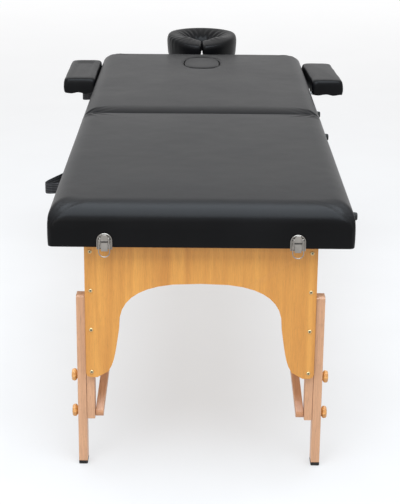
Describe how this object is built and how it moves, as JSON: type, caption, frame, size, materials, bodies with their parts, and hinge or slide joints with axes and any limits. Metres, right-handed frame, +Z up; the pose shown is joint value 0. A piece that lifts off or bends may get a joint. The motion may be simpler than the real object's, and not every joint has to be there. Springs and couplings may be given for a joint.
{
  "type": "portable massage table",
  "caption": "Folding padded treatment table with two hinged halves, wooden folding leg frames, adjustable legs, face cradle and side armrests.",
  "frame": {"origin": "on the floor, under the middle of the whole object", "axes": "+X to the right seen from the foot end, +Y from the foot end to the head end, +Z up"},
  "size_m": [0.924, 2.1643, 0.703],
  "materials": {
    "black_cover": "matte black leatherette with a fine grain",
    "plywood": "plain lacquered plywood and pine",
    "veneer": "satin lacquered veneer, upright grain",
    "beech": "satin lacquered solid beech",
    "knob_wood": "turned and lacquered beech",
    "rubber": "matte black moulded rubber",
    "webbing": "ribbed black webbing",
    "latch_steel": "nickel-plated satin",
    "zinc_steel": "zinc-plated",
    "aluminium": "satin tube"
  },
  "bodies": {
    "foot_half": {"foot_pad": "black_cover", "foot_deck": "plywood", "foot_frame": "plywood", "foot_hinge_leaf": "zinc_steel", "foot_carry_handle": "webbing", "foot_bumper_inner": "rubber", "foot_bumper_outer": "rubber", "foot_leg_axle": "zinc_steel", "latch_base_left": "latch_steel", "latch_base_right": "latch_steel"},
    "head_half": {"head_pad": "black_cover", "head_deck": "plywood", "head_frame": "plywood", "head_hinge_leaf": "zinc_steel", "head_carry_handle": "webbing", "head_bumper_inner": "rubber", "head_bumper_outer": "rubber", "head_leg_axle": "zinc_steel"},
    "foot_legs": {"foot_end_panel": "veneer", "foot_upper_leg_left": "beech", "foot_upper_leg_right": "beech"},
    "foot_extension_left": {"foot_extension_leg_left": "beech", "foot_rubber_foot_left": "rubber"},
    "foot_knob_left_upper": {"foot_knob_left_upper": "knob_wood"},
    "foot_knob_left_lower": {"foot_knob_left_lower": "knob_wood"},
    "foot_lower_stay_left": {"foot_lower_stay_left": "beech"},
    "foot_upper_stay_left": {"foot_upper_stay_left": "beech"},
    "foot_extension_right": {"foot_extension_leg_right": "beech", "foot_rubber_foot_right": "rubber"},
    "foot_knob_right_upper": {"foot_knob_right_upper": "knob_wood"},
    "foot_knob_right_lower": {"foot_knob_right_lower": "knob_wood"},
    "foot_lower_stay_right": {"foot_lower_stay_right": "beech"},
    "foot_upper_stay_right": {"foot_upper_stay_right": "beech"},
    "head_legs": {"head_end_panel": "veneer", "head_upper_leg_left": "beech", "head_upper_leg_right": "beech"},
    "head_extension_left": {"head_extension_leg_left": "beech", "head_rubber_foot_left": "rubber"},
    "head_knob_left_upper": {"head_knob_left_upper": "knob_wood"},
    "head_knob_left_lower": {"head_knob_left_lower": "knob_wood"},
    "head_lower_stay_left": {"head_lower_stay_left": "beech"},
    "head_upper_stay_left": {"head_upper_stay_left": "beech"},
    "head_extension_right": {"head_extension_leg_right": "beech", "head_rubber_foot_right": "rubber"},
    "head_knob_right_upper": {"head_knob_right_upper": "knob_wood"},
    "head_knob_right_lower": {"head_knob_right_lower": "knob_wood"},
    "head_lower_stay_right": {"head_lower_stay_right": "beech"},
    "head_upper_stay_right": {"head_upper_stay_right": "beech"},
    "latch_lever_left": {"latch_lever_left": "latch_steel"},
    "latch_bail_left": {"latch_bail_left": "latch_steel"},
    "latch_lever_right": {"latch_lever_right": "latch_steel"},
    "latch_bail_right": {"latch_bail_right": "latch_steel"},
    "face_hole_plug": {"face_hole_plug": "black_cover"},
    "left_armrest": {"left_armrest_pad": "black_cover", "left_armrest_bracket": "zinc_steel"},
    "right_armrest": {"right_armrest_pad": "black_cover", "right_armrest_bracket": "zinc_steel"},
    "face_cradle": {"cradle_rods": "aluminium"},
    "face_rest": {"cradle_platform": "plywood", "cradle_cushion": "black_cover"}
  },
  "joints": [
    {"name": "centre_fold", "type": "hinge", "parent": "foot_half", "child": "head_half", "pos_m": [0, -0.14, 0.5605], "axis": [-1, 0, 0], "range_deg": [0, 180]},
    {"name": "foot_leg_fold", "type": "hinge", "parent": "foot_half", "child": "foot_legs", "pos_m": [0, -1.015, 0.592], "axis": [1, 0, 0], "range_deg": [0, 92]},
    {"name": "foot_extension_left_slide", "type": "slide", "parent": "foot_legs", "child": "foot_extension_left", "axis": [0, -0.0349, -0.9994], "range_m": [0, 0.175]},
    {"name": "foot_knob_left_upper_turn", "type": "hinge", "parent": "foot_legs", "child": "foot_knob_left_upper", "pos_m": [-0.2985, -1.02777, 0.22622], "axis": [-1, 0, 0], "continuous": true},
    {"name": "foot_knob_left_lower_turn", "type": "hinge", "parent": "foot_legs", "child": "foot_knob_left_lower", "pos_m": [-0.2985, -1.03098, 0.13428], "axis": [-1, 0, 0], "continuous": true},
    {"name": "foot_lower_stay_left_fold", "type": "hinge", "parent": "foot_legs", "child": "foot_lower_stay_left", "pos_m": [0, -1.03112, 0.13028], "axis": [1, 0, 0], "range_deg": [0, 44]},
    {"name": "foot_upper_stay_left_fold", "type": "hinge", "parent": "foot_half", "child": "foot_upper_stay_left", "pos_m": [0, -0.553, 0.592], "axis": [-1, 0, 0], "range_deg": [0, 44]},
    {"name": "foot_extension_right_slide", "type": "slide", "parent": "foot_legs", "child": "foot_extension_right", "axis": [0, -0.0349, -0.9994], "range_m": [0, 0.175]},
    {"name": "foot_knob_right_upper_turn", "type": "hinge", "parent": "foot_legs", "child": "foot_knob_right_upper", "pos_m": [0.2985, -1.02777, 0.22622], "axis": [1, 0, 0], "continuous": true},
    {"name": "foot_knob_right_lower_turn", "type": "hinge", "parent": "foot_legs", "child": "foot_knob_right_lower", "pos_m": [0.2985, -1.03098, 0.13428], "axis": [1, 0, 0], "continuous": true},
    {"name": "foot_lower_stay_right_fold", "type": "hinge", "parent": "foot_legs", "child": "foot_lower_stay_right", "pos_m": [0, -1.03112, 0.13028], "axis": [1, 0, 0], "range_deg": [0, 44]},
    {"name": "foot_upper_stay_right_fold", "type": "hinge", "parent": "foot_half", "child": "foot_upper_stay_right", "pos_m": [0, -0.553, 0.592], "axis": [-1, 0, 0], "range_deg": [0, 44]},
    {"name": "head_leg_fold", "type": "hinge", "parent": "head_half", "child": "head_legs", "pos_m": [0, 0.735, 0.592], "axis": [-1, 0, 0], "range_deg": [0, 92]},
    {"name": "head_extension_left_slide", "type": "slide", "parent": "head_legs", "child": "head_extension_left", "axis": [0, 0.0349, -0.9994], "range_m": [0, 0.175]},
    {"name": "head_knob_left_upper_turn", "type": "hinge", "parent": "head_legs", "child": "head_knob_left_upper", "pos_m": [-0.2755, 0.74777, 0.22622], "axis": [-1, 0, 0], "continuous": true},
    {"name": "head_knob_left_lower_turn", "type": "hinge", "parent": "head_legs", "child": "head_knob_left_lower", "pos_m": [-0.2755, 0.75098, 0.13428], "axis": [-1, 0, 0], "continuous": true},
    {"name": "head_lower_stay_left_fold", "type": "hinge", "parent": "head_legs", "child": "head_lower_stay_left", "pos_m": [0, 0.75112, 0.13028], "axis": [-1, 0, 0], "range_deg": [0, 44]},
    {"name": "head_upper_stay_left_fold", "type": "hinge", "parent": "head_half", "child": "head_upper_stay_left", "pos_m": [0, 0.273, 0.592], "axis": [1, 0, 0], "range_deg": [0, 44]},
    {"name": "head_extension_right_slide", "type": "slide", "parent": "head_legs", "child": "head_extension_right", "axis": [0, 0.0349, -0.9994], "range_m": [0, 0.175]},
    {"name": "head_knob_right_upper_turn", "type": "hinge", "parent": "head_legs", "child": "head_knob_right_upper", "pos_m": [0.2755, 0.74777, 0.22622], "axis": [1, 0, 0], "continuous": true},
    {"name": "head_knob_right_lower_turn", "type": "hinge", "parent": "head_legs", "child": "head_knob_right_lower", "pos_m": [0.2755, 0.75098, 0.13428], "axis": [1, 0, 0], "continuous": true},
    {"name": "head_lower_stay_right_fold", "type": "hinge", "parent": "head_legs", "child": "head_lower_stay_right", "pos_m": [0, 0.75112, 0.13028], "axis": [-1, 0, 0], "range_deg": [0, 44]},
    {"name": "head_upper_stay_right_fold", "type": "hinge", "parent": "head_half", "child": "head_upper_stay_right", "pos_m": [0, 0.273, 0.592], "axis": [1, 0, 0], "range_deg": [0, 44]},
    {"name": "latch_lever_left_lift", "type": "hinge", "parent": "foot_half", "child": "latch_lever_left", "pos_m": [-0.22, -1.0759, 0.573], "axis": [1, 0, 0], "range_deg": [0, 100]},
    {"name": "latch_bail_left_swing", "type": "hinge", "parent": "latch_lever_left", "child": "latch_bail_left", "pos_m": [-0.22, -1.0811, 0.575], "axis": [-1, 0, 0], "range_deg": [0, 100]},
    {"name": "latch_lever_right_lift", "type": "hinge", "parent": "foot_half", "child": "latch_lever_right", "pos_m": [0.22, -1.0759, 0.573], "axis": [1, 0, 0], "range_deg": [0, 100]},
    {"name": "latch_bail_right_swing", "type": "hinge", "parent": "latch_lever_right", "child": "latch_bail_right", "pos_m": [0.22, -1.0811, 0.575], "axis": [-1, 0, 0], "range_deg": [0, 100]},
    {"name": "face_hole_plug_lift", "type": "slide", "parent": "head_half", "child": "face_hole_plug", "axis": [0, 0, 1], "range_m": [0, 0.06]},
    {"name": "left_armrest_slide", "type": "slide", "parent": "head_half", "child": "left_armrest", "axis": [-1, 0, 0], "range_m": [0, 0.05]},
    {"name": "right_armrest_slide", "type": "slide", "parent": "head_half", "child": "right_armrest", "axis": [1, 0, 0], "range_m": [0, 0.05]},
    {"name": "face_cradle_slide", "type": "slide", "parent": "head_half", "child": "face_cradle", "axis": [0, 1, 0], "range_m": [0, 0.06]},
    {"name": "face_rest_tilt", "type": "hinge", "parent": "face_cradle", "child": "face_rest", "pos_m": [0, 0.828, 0.6235], "axis": [1, 0, 0], "range_deg": [-30, 20]}
  ],
  "couplings": [
    {"joint": "foot_leg_fold", "follows": "centre_fold", "ratio": 0.51111},
    {"joint": "foot_lower_stay_left_fold", "follows": "centre_fold", "ratio": 0.24444},
    {"joint": "foot_upper_stay_left_fold", "follows": "centre_fold", "ratio": 0.24444},
    {"joint": "foot_lower_stay_right_fold", "follows": "centre_fold", "ratio": 0.24444},
    {"joint": "foot_upper_stay_right_fold", "follows": "centre_fold", "ratio": 0.24444},
    {"joint": "head_leg_fold", "follows": "centre_fold", "ratio": 0.51111},
    {"joint": "head_lower_stay_left_fold", "follows": "centre_fold", "ratio": 0.24444},
    {"joint": "head_upper_stay_left_fold", "follows": "centre_fold", "ratio": 0.24444},
    {"joint": "head_lower_stay_right_fold", "follows": "centre_fold", "ratio": 0.24444},
    {"joint": "head_upper_stay_right_fold", "follows": "centre_fold", "ratio": 0.24444},
    {"joint": "latch_bail_left_swing", "follows": "latch_lever_left_lift", "ratio": 1},
    {"joint": "latch_bail_right_swing", "follows": "latch_lever_right_lift", "ratio": 1}
  ]
}
